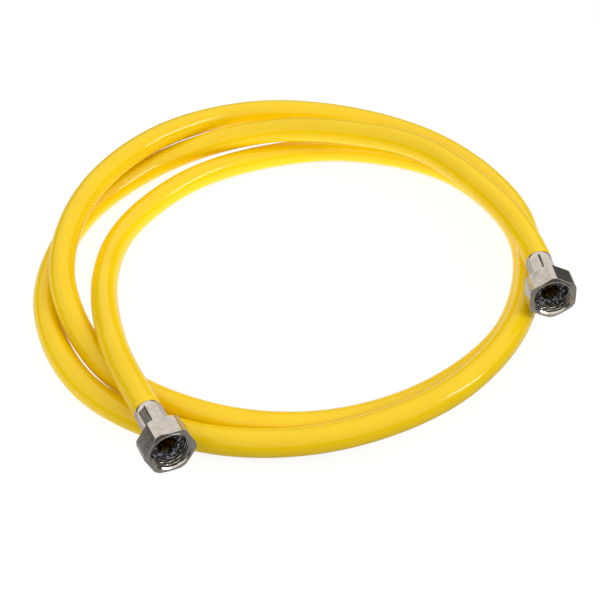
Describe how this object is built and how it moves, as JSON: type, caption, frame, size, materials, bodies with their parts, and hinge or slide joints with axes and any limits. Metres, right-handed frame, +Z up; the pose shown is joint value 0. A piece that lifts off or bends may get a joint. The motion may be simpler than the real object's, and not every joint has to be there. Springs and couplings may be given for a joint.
{
  "type": "flexible supply hose",
  "caption": "Flexible yellow PVC hose lying in loose turns, with a crimped sleeve, a barbed tail and a swivelling hexagon union nut with a flat gasket at each end",
  "frame": {"origin": "on the floor, under the middle of the whole part as it lies", "axes": "+Z up, +X to the right and +Y away from the viewer as the picture shows it"},
  "size_m": [0.2913, 0.2882, 0.0547],
  "materials": {
    "pvc": "gloss",
    "nickel_plate": "bright nickel plate",
    "brass": "turned",
    "rubber": "matt"
  },
  "bodies": {
    "hose": {"hose": "pvc", "crimp_sleeve_a": "nickel_plate", "crimp_sleeve_b": "nickel_plate", "hose_tail_a": "brass", "hose_tail_b": "brass"},
    "nut_a": {"union_nut_a": "nickel_plate", "gasket_a": "rubber"},
    "nut_b": {"union_nut_b": "nickel_plate", "gasket_b": "rubber"}
  },
  "joints": [
    {"name": "nut_a_swivel", "type": "hinge", "parent": "hose", "child": "nut_a", "pos_m": [-0.0568, -0.1388, 0.0335], "axis": [0.4405, -0.886, 0.1452], "continuous": true},
    {"name": "nut_b_swivel", "type": "hinge", "parent": "hose", "child": "nut_b", "pos_m": [0.1334, -0.0481, 0.042], "axis": [0.0854, -0.9902, 0.1106], "continuous": true}
  ]
}
